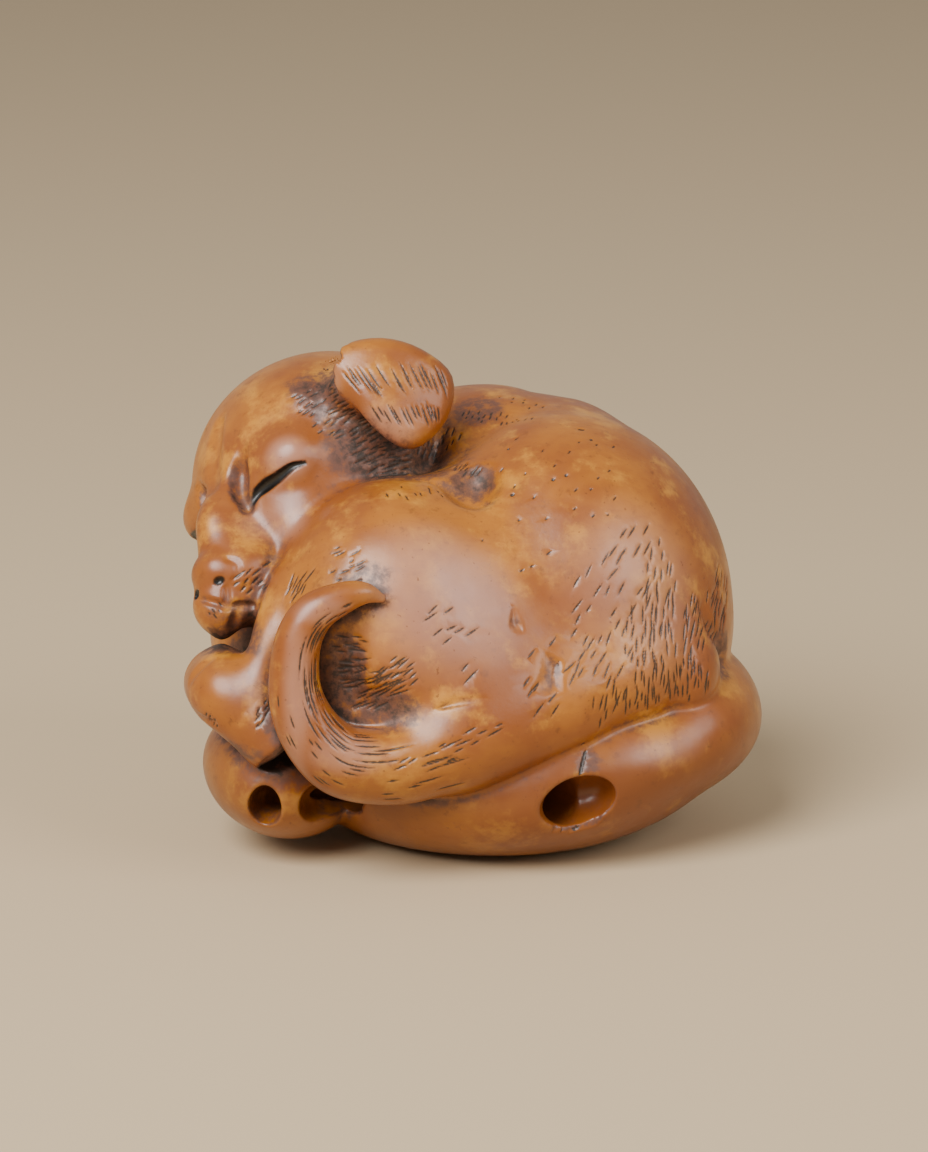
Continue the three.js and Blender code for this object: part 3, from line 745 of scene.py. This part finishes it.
# Along the tail, thick on its inner side and few on its outer one.
tail_spans = spans_of(TAIL)
for turn in range(-40, 80, 8):
    inner = turn > 12
    t = chance.uniform(1.6, 3.4) if inner else chance.uniform(0.5, 3.0)
    end = chance.uniform(9.2, 10.6) if inner else chance.uniform(4.5, 7.5)
    while t < end:
        reach = chance.uniform(0.9, 2.0) if inner else chance.uniform(0.3, 0.6)
        at, speed, _ = along_path(tail_spans, np.linspace(t, min(t + reach, end), STEPS + 1))
        way = speed[:, :3] / np.linalg.norm(speed[:, :3], axis=1)[:, None]
        inward = np.stack((way[:, 2], np.zeros(len(way)), -way[:, 0]), axis=1)
        angle = math.radians(turn + chance.uniform(-3, 3))
        out = math.sin(angle) * inward - math.cos(angle) * np.array((0, 1, 0))
        guides.append(at[:, :3] + at[:, 3:] * out)
        t += reach + (chance.uniform(0.1, 0.5) if inner else chance.uniform(0.5, 2.0))
for at, length in PITS:
    guides.append(np.linspace(at, np.add(at, (length * 0.8, 0, length * 0.5)), STEPS + 1))
for path in CRACK:
    guides.append(np.linspace(path[0], path[1], STEPS + 1))
on_skin = settle(np.concatenate(guides), 5)[0].reshape(-1, STEPS + 1, 3)
special = len(PITS) + len(CRACK)
lines += list(on_skin[:-special])
pits = list(on_skin[-special:-len(CRACK)])
cracks = list(on_skin[-len(CRACK):])
print("lines in all:", len(lines))

# %% [markdown]
# A line is cut by pressing in the points near it: deepest in its middle and shallow at its ends. The
# same measure, taken again on the finished mesh, tells the wood where old dirt has stayed in the cuts.

# %% Cutting the lines
PIT_CUT = (0.16, 0.15)  # half width and depth, in millimetres
CRACK_CUT = (0.14, 0.25)


def cut_depth(points, normals, cuts):
    """How deep each point lies in a cut, from 0 on the skin to the cut's own depth."""
    tree = KDTree(len(points))
    for number, point in enumerate(points):
        tree.insert(point, number)
    tree.balance()
    depth = np.zeros(len(points))
    for line, half_width, deep in cuts:
        reach = half_width + 2 * deep
        near = set()
        for a, b in zip(line, line[1:]):
            count = max(1, math.ceil(np.linalg.norm(b - a) / half_width))
            for share in np.arange(count) / count:
                near.update(number for _, number, _ in tree.find_range(a + (b - a) * share, reach))
        if not near:
            continue
        near = np.array(sorted(near))
        place, out = points[near], normals[near]
        best = np.full(len(near), 1e9)
        where = np.zeros(len(near))
        for number, (a, b) in enumerate(zip(line, line[1:])):
            side = b - a
            share = np.clip((place - a) @ side / (side @ side + 1e-12), 0, 1)
            away = place - a - share[:, None] * side
            away -= (away * out).sum(axis=1)[:, None] * out
            gap = np.linalg.norm(away, axis=1)
            closer = gap < best
            best[closer] = gap[closer]
            where[closer] = ((number + share) / (len(line) - 1))[closer]
        taper = np.sqrt(np.clip(4 * where * (1 - where), 0, 1))
        wall = np.clip(1 - best / (half_width * (0.4 + 0.6 * taper)), 0, 1)
        depth[near] = np.maximum(depth[near], deep * taper * wall)
    return depth


cuts = [(line, LINE_HALF_WIDTH, LINE_DEPTH) for line in lines]
cuts += [(line, *PIT_CUT) for line in pits]
cuts += [(line, *CRACK_CUT) for line in cracks]
points, normals = read_points(netsuke), read_normals(netsuke)
write_points(netsuke, points - normals * cut_depth(points, normals, cuts)[:, None])
print("cuts:", len(cuts))

# %% [markdown]
# The skin now has far more points than the smooth parts need. Decimate keeps them where the cuts are.

# %% Lightening the mesh
MOST_TRIANGLES = 190_000


def triangles_of(piece):
    return sum(len(face.vertices) - 2 for face in piece.data.polygons)


triangles = triangles_of(netsuke)
if triangles > MOST_TRIANGLES:
    thin = netsuke.modifiers.new("lighten", "DECIMATE")
    thin.ratio = MOST_TRIANGLES / triangles
    bpy.ops.object.modifier_apply(modifier="lighten")
print("triangles:", triangles, "before and", triangles_of(netsuke), "after")

# %% [markdown]
# What the wood shows depends on where it is. Four measures are kept at each point: how deep it lies in
# a cut, how much the forms around shut it in, which paints shade and dirt into the hollows, where
# painted shade darkens the recesses, and where painted highlights, with some wear, make it pale. The
# closed eyes and the nostrils are stained black.

# %% Painted shade and highlights, wear and dirt
# Painted shade: soft darker patches in the recesses and under parts, where shade falls.
SHADED_RECESSES = [
    dict(at=(-6.6, -3.0, 27.6), radii=(4.2, 3.0, 3.6), amount=0.75),  # behind the eye, under the ear
    dict(at=(-9.4, -2.4, 30.6), radii=(2.4, 2.6, 2.0), amount=0.6),
    dict(at=(-3.4, -0.6, 26.0), radii=(2.6, 2.4, 1.8), amount=0.8),  # fold of the neck
    dict(at=(0.6, 2.6, 29.0), radii=(2.4, 2.6, 1.4), amount=0.5),
    dict(at=(0.2, -4.9, 25.6), radii=(1.9, 1.9, 1.7), amount=0.7),  # hollow by the haunch
    dict(at=(-8.6, -14.2, 14.6), radii=(2.2, 2.6, 3.4), amount=0.75),  # inside the tail's curl
    dict(at=(-5.6, -15.6, 12.4), radii=(2.8, 2.0, 1.6), amount=0.7),
    dict(at=(-7.4, -13.8, 21.2), radii=(2.8, 1.8, 1.3), amount=0.5),  # above the tail's tip
    dict(at=(-14.6, -9.0, 16.0), radii=(1.8, 4.0, 1.6), amount=0.7),  # under the chin
    dict(at=(-13.4, -13.8, 11.8), radii=(0.8, 1.6, 2.0), amount=0.6),  # beside the shin
    dict(at=(-15.0, -12.4, 9.0), radii=(3.4, 2.6, 0.9), amount=0.5),  # under the foot
    dict(at=(17.6, -5.0, 13.6), radii=(1.4, 2.0, 2.2), amount=0.6),  # by the rump's tuft
    dict(at=(-16.6, -8.8, 17.8), radii=(2.0, 2.0, 1.8), amount=0.35),  # chin
    dict(at=(8.0, -14.0, 8.4), radii=(1.4, 1.2, 1.0), amount=0.6),  # crack
]
# Painted highlights, with some wear: paler rosy patches where the light glances off the forms.
HIGHLIGHTS_AND_WEAR = [
    dict(at=(-2.0, -13.6, 20.0), radii=(5.2, 3.4, 6.0), amount=0.9),  # haunch
    dict(at=(11.4, -10.0, 19.6), radii=(5.4, 4.4, 6.4), amount=0.55),  # flank
    dict(at=(-12.6, -5.2, 27.6), radii=(1.8, 1.4, 1.7), amount=0.8),  # upper lid
    dict(at=(-15.4, -9.6, 20.6), radii=(1.4, 1.2, 1.0), amount=0.5),  # bridge of the nose
    dict(at=(-13.4, -6.4, 23.2), radii=(2.6, 2.0, 1.3), amount=0.55),  # under the eye
    dict(at=(-11.4, -17.4, 13.6), radii=(1.0, 1.4, 5.0), amount=0.7),  # tail
    dict(at=(-8.0, -18.0, 10.2), radii=(3.0, 1.4, 1.4), amount=0.6),
    dict(at=(-9.6, -17.0, 19.6), radii=(2.2, 1.2, 0.9), amount=0.5),
    dict(at=(-5.6, -5.4, 29.6), radii=(2.2, 1.6, 1.8), amount=0.6),  # tip of the ear
    dict(at=(-9.6, -4.0, 32.4), radii=(0.9, 1.2, 1.4), amount=0.6),  # rim of the ear
    dict(at=(-14.4, -13.2, 13.0), radii=(0.6, 1.2, 2.4), amount=0.6),  # shin
    dict(at=(13.6, -12.0, 8.6), radii=(3.6, 2.4, 1.2), amount=0.35),  # cushion's shoulder
]


LOOK_OUT = ((0.4, 0.25), (1.0, 0.35), (2.4, 0.4))  # how far off the room is felt, and its weight


def spread(points, places):
    """The largest of the places' amounts at each point, each fading out round its own form."""
    amount = np.zeros(len(points))
    for place in places:
        level = np.linalg.norm((points - place["at"]) / np.array(place["radii"]), axis=1)
        amount = np.maximum(amount, place["amount"] * (1 - ease(level, 0.45, 1.35)))
    return amount


def stained(points):
    """1 in the closed eyes and the nostrils."""
    local = in_head(points)
    depth = np.full(len(points), 9.0)
    for side in (1, -1):
        flip = np.array((1, 1, side, 1))
        depth = np.minimum(depth, limb_field(local, np.array(EYE_SLIT) * flip, 2.0))
        depth = np.minimum(depth, mass_field(local * flip[:3], **NOSTRIL))
    return 1 - ease(depth, 0.02, 0.1)


points, normals = read_points(netsuke), read_normals(netsuke)
in_cut = np.clip(cut_depth(points, normals, cuts) / LINE_DEPTH, 0, 1)
# Painted shade, with the dirt of the hollows: a point darkens as the forms around shut it in.
shut_in = np.zeros(len(points))
for reach, weight in LOOK_OUT:
    opened = np.clip(carving_field(points + normals * reach) / reach, 0, 1)
    shut_in += weight * (1 - opened)
measures = dict(
    cut=in_cut,
    hollow=shut_in,
    painted_shade=spread(points, SHADED_RECESSES),
    highlight_and_wear=spread(points, HIGHLIGHTS_AND_WEAR),
    stain=stained(points),
)
for name, values in measures.items():
    attribute = netsuke.data.attributes.new(name, "FLOAT", "POINT")
    attribute.data.foreach_set("value", values.astype(np.float32))
    print(name, "mean", round(float(values.mean()), 3))

# %% [markdown]
# The object is finished at life size: the thousandth scale and the shift that puts the middle of its
# box over the frame's origin go into the mesh, so the object itself stays at the origin, unscaled.

# %% To life size
points = read_points(netsuke)
middle = (points.min(axis=0) + points.max(axis=0)) / 2
cad_middle = (cad_low + cad_high) / 2
shift = np.array((cad_middle[0] - middle[0], cad_middle[1] - middle[1], 0.0))
write_points(netsuke, (points + shift) / 1000)
low, high = points.min(axis=0) + shift, points.max(axis=0) + shift
print("shift", np.round(shift, 3), "box", np.round(low, 2), np.round(high, 2))
deselect()
netsuke.select_set(True)
bpy.context.view_layer.objects.active = netsuke
bpy.ops.object.shade_smooth()
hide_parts("netsuke")
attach(netsuke, "root")


# %% [markdown]
# A long lens from a little above keeps the small carving's proportions true, as when it is held at
# reading distance.

# %% Camera
CAMERA_ELEVATION = math.radians(14)
CAMERA_DISTANCE = 320  # in millimetres
FOCAL_LENGTH = 143.5
AIM = (-0.42, 0.0, 17.8)
lens = bpy.data.cameras.new("camera")
lens.lens = FOCAL_LENGTH
lens.sensor_width = 36
lens.clip_start = 0.01
camera = bpy.data.objects.new("camera", lens)
bpy.context.collection.objects.link(camera)
back = Vector((0, -math.cos(CAMERA_ELEVATION), math.sin(CAMERA_ELEVATION)))
camera.location = Vector((np.asarray(AIM) + shift) / 1000) + back * CAMERA_DISTANCE / 1000
camera.rotation_euler = back.to_track_quat("Z", "Y").to_euler()
bpy.context.scene.camera = camera
print("camera at", tuple(round(value, 3) for value in camera.location), "m")

# %% [markdown]
# Colours are given as they look, in hex, and made linear by one function. Another adds a shader node
# with its settings and its links in one go.

# %% Colour and node helpers
def colour(code):
    parts = [int(code[i : i + 2], 16) / 255 for i in (1, 3, 5)]
    return (*(p / 12.92 if p <= 0.04045 else ((p + 0.055) / 1.055) ** 2.4 for p in parts), 1)


wood = bpy.data.materials.new("polished boxwood")
wood.use_nodes = True


def node(kind, inputs, output, **settings):
    """Adds a node to the wood. An input takes a value, or the output that feeds it."""
    made = wood.node_tree.nodes.new(kind)
    for name, value in settings.items():
        setattr(made, name, value)
    sockets = {socket.identifier: socket for socket in made.inputs}
    for name, value in inputs.items():
        if isinstance(value, bpy.types.NodeSocket):
            wood.node_tree.links.new(value, sockets[name])
        else:
            sockets[name].default_value = value
    return next(socket for socket in made.outputs if socket.identifier == output)


# %% [markdown]
# Boxwood is a dense, pale yellow wood with pores too fine to see. Handling, wax and old dirt have turned
# this piece amber and brown, and nearly black in the cuts. Painted highlights, with some wear, make it
# paler and rosy where the light glances, and painted shade, with the dirt of the hollows, makes it
# purplish brown and dark in the recesses. Each pattern below has the size in millimetres of what it
# stands for. The pores are drawn far coarser than they are, or nothing would show of them.

# %% Patterns in the wood
MM = 1000.0  # a noise of this scale repeats about once a millimetre
PATTERNS = dict(  # size in millimetres, detail and roughness
    clouds=(9, 4, 0.55),
    mottling=(3.5, 5, 0.65),
    flecks=(0.9, 4, 0.7),
    dark_edge=(0.7, 4, 0.7),
    specks=(0.35, 2, 0.55),
    sheen=(1.6, 4, 0.55),
    pores=(0.25, 3, 0.55),
    ripples=(1.4, 3, 0.55),
)
GRAIN_MM, GRAIN_TURN, GRAIN_STRETCH = 0.5, (0.2, 0.5, 0.1), (0.12, 1, 1)

place = node("ShaderNodeTexCoord", {}, "Object")
grain_way = node(
    "ShaderNodeMapping",
    {"Vector": place, "Rotation": GRAIN_TURN, "Scale": GRAIN_STRETCH},
    "Vector",
)
source = {"height": node("ShaderNodeSeparateXYZ", {"Vector": place}, "Z")}
for name, (size, detail, roughness) in PATTERNS.items():
    settings = {"Vector": place, "Scale": MM / size, "Detail": detail, "Roughness": roughness}
    source[name] = node("ShaderNodeTexNoise", settings, "Fac")
streaked = {"Vector": grain_way, "Scale": MM / GRAIN_MM, "Detail": 3, "Roughness": 0.55}
source["grain"] = node("ShaderNodeTexNoise", {**streaked, "Distortion": 0.4}, "Fac")
for name in measures:
    source[name] = node("ShaderNodeAttribute", {}, "Fac", attribute_name=name)
print("patterns and measures:", ", ".join(source))

# %% [markdown]
# The dark is painted shade: the hollows, with their dirt, and the marked recesses, whichever is more,
# with an uneven edge. The colours are then laid over each other like coats, each where its source says.

# %% Coats of colour
AMBER, HONEY, TAN, UMBER = colour("#A8661C"), colour("#BC7C26"), colour("#8A4A18"), colour("#5E3014")
PLUM, SOOT, BLACK, ROSE = colour("#5A3A30"), colour("#2A2018"), colour("#0C0806"), colour("#C0907A")
RANGE = ("From Min", "From Max", "To Min", "To Max")
COATS = [  # source, its range, the share of the coat over that range, the colour and the rise
    ("clouds", (0.38, 0.62, 0, 1), TAN, "SMOOTHSTEP"),
    ("mottling", (0.5, 0.7, 0, 1), HONEY, "SMOOTHSTEP"),
    ("flecks", (0.55, 0.75, 0, 0.5), UMBER, "SMOOTHSTEP"),
    ("grain", (0.5, 0.75, 0, 0.35), TAN, "SMOOTHSTEP"),
    ("height", (0.012, 0.006, 0, 0.45), UMBER, "SMOOTHSTEP"),  # the cushion is darker
    # painted highlights, with some wear: paler and rosy where the light glances
    ("highlight_and_wear", (0, 1, 0, 0.55), ROSE, "LINEAR"),
    # painted shade, with the dirt of the hollows: purplish brown, then nearly black
    ("dark", (0.2, 0.55, 0, 0.85), PLUM, "SMOOTHSTEP"),
    ("dark", (0.5, 0.95, 0, 0.9), SOOT, "SMOOTHSTEP"),
    ("specks", (0.68, 0.74, 0, 0.5), UMBER, "SMOOTHSTEP"),
    ("cut", (0.15, 0.75, 0, 0.92), SOOT, "SMOOTHSTEP"),
    ("stain", (0, 1, 0, 1), BLACK, "LINEAR"),
]

spans = dict(dark_edge=(0.3, 0.7, 0.55, 1.3), sheen=(0.3, 0.7, -0.04, 0.06))
uneven, sheen = (
    node(
        "ShaderNodeMapRange",
        {"Value": source[name], **dict(zip(RANGE, span))},
        "Result",
        interpolation_type="SMOOTHSTEP",
    )
    for name, span in spans.items()
)
# Painted shade, with the dirt of the hollows, from the occlusion and the shaded recesses.
darkened = [
    node("ShaderNodeMath", {"Value": source[name], "Value_001": uneven}, "Value", operation="MULTIPLY")
    for name in ("hollow", "painted_shade")
]
source["dark"] = node(
    "ShaderNodeMath", dict(zip(("Value", "Value_001"), darkened)), "Value", operation="MAXIMUM"
)
body = AMBER
for name, span, over, rise in COATS:
    settings = {"Value": source[name], **dict(zip(RANGE, span))}
    share = node("ShaderNodeMapRange", settings, "Result", interpolation_type=rise)
    coat = {"Factor_Float": share, "A_Color": body, "B_Color": over}
    body = node("ShaderNodeMix", coat, "Result_Color", data_type="RGBA")
print("coats of colour:", len(COATS))

# %% [markdown]
# Polished wax gives a satin face. It is duller where shade and dirt are painted. Two faint bumps, the
# pores and the slow ripples left by the knife, break the highlights up.

# %% Polish
DARK_ROUGHNESS = (0.2, 0.9, 0.34, 0.62)
BUMPS = [("pores", 0.12, 0.00004), ("ripples", 0.25, 0.0001)]  # source, strength, height in metres
WAX = {"IOR": 1.5, "Coat Weight": 0.15, "Coat Roughness": 0.28}

dull = node(
    "ShaderNodeMapRange",
    {"Value": source["dark"], **dict(zip(RANGE, DARK_ROUGHNESS))},
    "Result",
    interpolation_type="SMOOTHSTEP",
)
finish = {"Base Color": body}
finish["Roughness"] = node("ShaderNodeMath", {"Value": dull, "Value_001": sheen}, "Value", operation="ADD")
for name, strength, distance in BUMPS:
    bump = {"Height": source[name], "Strength": strength, "Distance": distance}
    if "Normal" in finish:
        bump["Normal"] = finish["Normal"]
    finish["Normal"] = node("ShaderNodeBump", bump, "Normal")
shader = wood.node_tree.nodes["Principled BSDF"]
for name, output in finish.items():
    wood.node_tree.links.new(output, shader.inputs[name])
for name, value in WAX.items():
    shader.inputs[name].default_value = value
netsuke.data.materials.clear()
netsuke.data.materials.append(wood)
print("boxwood nodes:", len(wood.node_tree.nodes))

# %% [markdown]
# A matt pale floor and two round soft lights: the large one stands for a window, high on the left, and
# the weak one lifts the shadows on the right.

# %% Floor and light
FLOOR_SIZE = 2.4  # in metres, as are the sizes and distances of the lights
FLOOR_ROUGHNESS = 0.9
WORLD_COLOUR, WORLD_STRENGTH = (1, 0.97, 0.93, 1), 0.4
LIGHT_DISTANCE, LIGHT_AIM = 0.5, (0, 0, 0.017)
LIGHTS = dict(  # azimuth and elevation in degrees, size, watts
    window=(-35, 42, 0.34, 4.0),
    fill=(55, 30, 0.3, 1.0),
)

deselect()
bpy.ops.mesh.primitive_plane_add(size=FLOOR_SIZE)
floor = bpy.context.object
floor.name = "floor"
paper = bpy.data.materials.new("matt paper")
paper.use_nodes = True
face = paper.node_tree.nodes["Principled BSDF"].inputs
face["Base Color"].default_value = colour("#C8B08C")
face["Roughness"].default_value = FLOOR_ROUGHNESS
floor.data.materials.append(paper)
world = bpy.data.worlds.new("studio")
world.use_nodes = True
sky = world.node_tree.nodes["Background"].inputs
sky["Color"].default_value = WORLD_COLOUR
sky["Strength"].default_value = WORLD_STRENGTH
bpy.context.scene.world = world

for name, (azimuth, elevation, size, watts) in LIGHTS.items():
    light = bpy.data.lights.new(name, "AREA")
    light.shape = "DISK"
    light.size = size
    light.energy = watts
    lamp = bpy.data.objects.new(name, light)
    a, e = math.radians(azimuth), math.radians(elevation)
    way = Vector((math.sin(a) * math.cos(e), -math.cos(a) * math.cos(e), math.sin(e)))
    lamp.location = way * LIGHT_DISTANCE + Vector(LIGHT_AIM)
    lamp.rotation_euler = way.to_track_quat("Z", "Y").to_euler()
    bpy.context.collection.objects.link(lamp)
print("lights:", ", ".join(LIGHTS))
